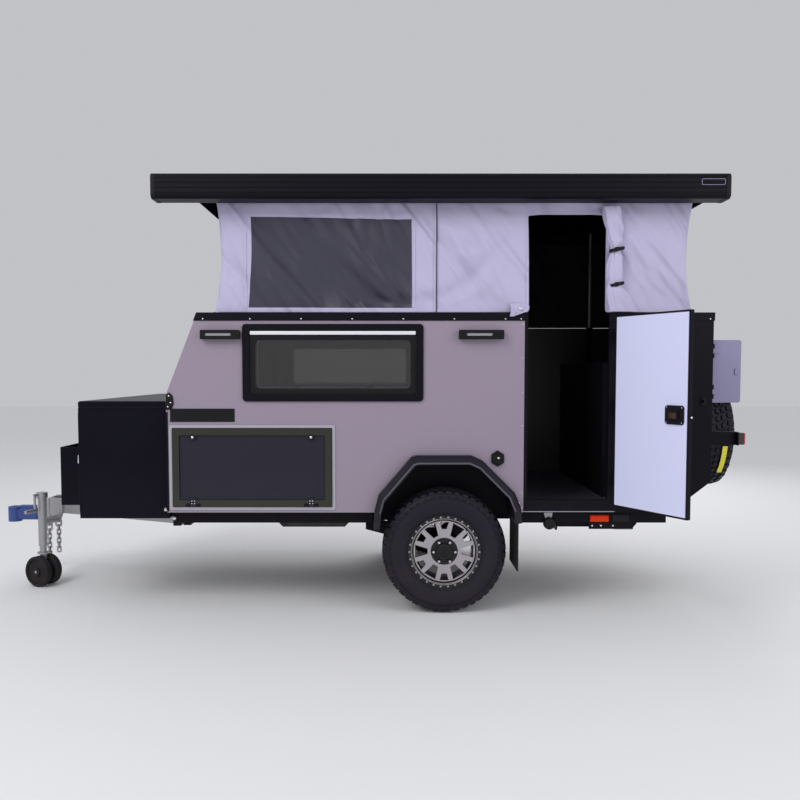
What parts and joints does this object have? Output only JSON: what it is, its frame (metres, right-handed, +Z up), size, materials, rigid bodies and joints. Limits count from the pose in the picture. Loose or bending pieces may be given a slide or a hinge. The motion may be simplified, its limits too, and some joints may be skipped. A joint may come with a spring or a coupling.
{
  "type": "pop-top camper trailer",
  "caption": "Off-road camper trailer with lifting roof, canvas walls, side door, spare wheel, storage boxes on an A-frame drawbar and a swing-up jockey wheel.",
  "frame": {"origin": "centre of the coupling's vertical pin bore", "axes": "+X towards the rear, +Z up, -Y the side with the entry door"},
  "size_m": [5.356, 2.5429, 2.7898],
  "materials": {
    "body_paint": "satin grey",
    "black_paint": "satin black powder coat",
    "black_box": "textured black",
    "galvanised": "dull",
    "blue_paint": "satin",
    "tyre_rubber": "matt",
    "flap_rubber": "matt",
    "rim_metal": "dark machined",
    "canvas_cloth": "matt canvas",
    "tinted_glass": "tinted",
    "lamp_white": "clear",
    "lamp_red": "clear",
    "marker_orange": "clear",
    "door_white": "smooth",
    "hatch_paint": "textured",
    "black_plastic": "matt",
    "floor_board": "sealed",
    "cabinet_board": "laminate",
    "mattress_cloth": "woven",
    "tank_plastic": "moulded",
    "locker_grey": "satin"
  },
  "bodies": {
    "trailer": {"bed_base": "floor_board", "body_fittings": "black_plastic", "cabin_floor": "floor_board", "cabinet": "cabinet_board", "carrier_arms": "black_paint", "chassis": "black_paint", "corner_near": "black_paint", "coupling_body": "galvanised", "drawbar": "galvanised", "fenders": "black_paint", "front_box": "black_box", "holder_box": "black_box", "lift_posts": "galvanised", "marker_lamps": "marker_orange", "mattress": "mattress_cloth", "mud_flaps": "flap_rubber", "opening_frames": "black_paint", "rear_carrier": "black_paint", "rear_locker": "black_paint", "rim_spare": "rim_metal", "safety_chains": "galvanised", "scene_lamp_lenses": "lamp_white", "scene_lamps": "black_plastic", "tail_lamps": "lamp_red", "top_trim": "black_paint", "trailing_arms": "black_paint", "tyre_spare": "tyre_rubber", "wall_far": "body_paint", "wall_front": "body_paint", "wall_near": "body_paint", "wall_rear": "black_paint", "water_tank": "tank_plastic", "wheel_wells": "black_paint", "window_glass": "tinted_glass"},
    "coupling_head": {"coupling_head": "blue_paint"},
    "jockey_leg": {"jockey_leg": "galvanised"},
    "jockey_fork": {"jockey_fork": "galvanised"},
    "jockey_wheels": {"jockey_wheels": "flap_rubber"},
    "wheel_near": {"tyre_near": "tyre_rubber", "rim_near": "rim_metal"},
    "wheel_far": {"tyre_far": "tyre_rubber", "rim_far": "rim_metal"},
    "entry_door": {"entry_door": "black_paint", "door_lining": "door_white", "door_handle": "black_plastic"},
    "side_hatch": {"side_hatch": "hatch_paint"},
    "front_box_lid": {"front_box_lid": "black_box"},
    "rear_locker_door": {"rear_locker_door": "locker_grey"},
    "rear_leg_near": {"rear_leg_near": "black_paint"},
    "rear_leg_far": {"rear_leg_far": "black_paint"},
    "roof": {"roof_shell": "black_paint", "awning_case": "black_paint", "awning_caps": "black_plastic", "lift_rods": "galvanised", "canvas": "canvas_cloth"}
  },
  "joints": [
    {"name": "coupling_roll", "type": "hinge", "parent": "trailer", "child": "coupling_head", "pos_m": [0, 0, 0], "axis": [1, 0, 0], "range_deg": [-45, 45]},
    {"name": "jockey_swing", "type": "hinge", "parent": "trailer", "child": "jockey_leg", "pos_m": [0.33135, -0.22498, -0.015], "axis": [0.3949, 0.9187, 0], "range_deg": [-90, 0]},
    {"name": "jockey_castor", "type": "hinge", "parent": "jockey_leg", "child": "jockey_fork", "pos_m": [0.31753, -0.25713, -0.22], "axis": [0, 0, 1], "continuous": true},
    {"name": "jockey_spin", "type": "hinge", "parent": "jockey_fork", "child": "jockey_wheels", "pos_m": [0.31753, -0.25713, -0.37], "axis": [0.3949, 0.9187, 0], "continuous": true},
    {"name": "wheel_near_spin", "type": "hinge", "parent": "trailer", "child": "wheel_near", "pos_m": [3.2, -0.8425, -0.0785], "axis": [0, 1, 0], "continuous": true},
    {"name": "wheel_far_spin", "type": "hinge", "parent": "trailer", "child": "wheel_far", "pos_m": [3.2, 0.8425, -0.0785], "axis": [0, 1, 0], "continuous": true},
    {"name": "entry_door_hinge", "type": "hinge", "parent": "trailer", "child": "entry_door", "pos_m": [4.283, -0.995, 0.82], "axis": [0, 0, 1], "range_deg": [-120, 45]},
    {"name": "side_hatch_hinge", "type": "hinge", "parent": "trailer", "child": "side_hatch", "pos_m": [1.9725, -0.966, 0.226], "axis": [1, 0, 0], "range_deg": [0, 90]},
    {"name": "front_box_lid_hinge", "type": "hinge", "parent": "trailer", "child": "front_box_lid", "pos_m": [1.408, 0, 0.905], "axis": [0, 1, 0], "range_deg": [0, 80]},
    {"name": "rear_locker_hinge", "type": "hinge", "parent": "trailer", "child": "rear_locker_door", "pos_m": [4.914, -0.912, 1.078], "axis": [0, 0, 1], "range_deg": [-90, 0]},
    {"name": "rear_leg_near_swing", "type": "hinge", "parent": "trailer", "child": "rear_leg_near", "pos_m": [4.43, -0.792, 0.08], "axis": [0, 1, 0], "range_deg": [-90, 0]},
    {"name": "rear_leg_far_swing", "type": "hinge", "parent": "trailer", "child": "rear_leg_far", "pos_m": [4.43, 0.792, 0.08], "axis": [0, 1, 0], "range_deg": [-90, 0]},
    {"name": "roof_lift", "type": "slide", "parent": "trailer", "child": "roof", "axis": [0, 0, 1], "range_m": [-0.68, 0], "deforming": ["canvas"]}
  ]
}
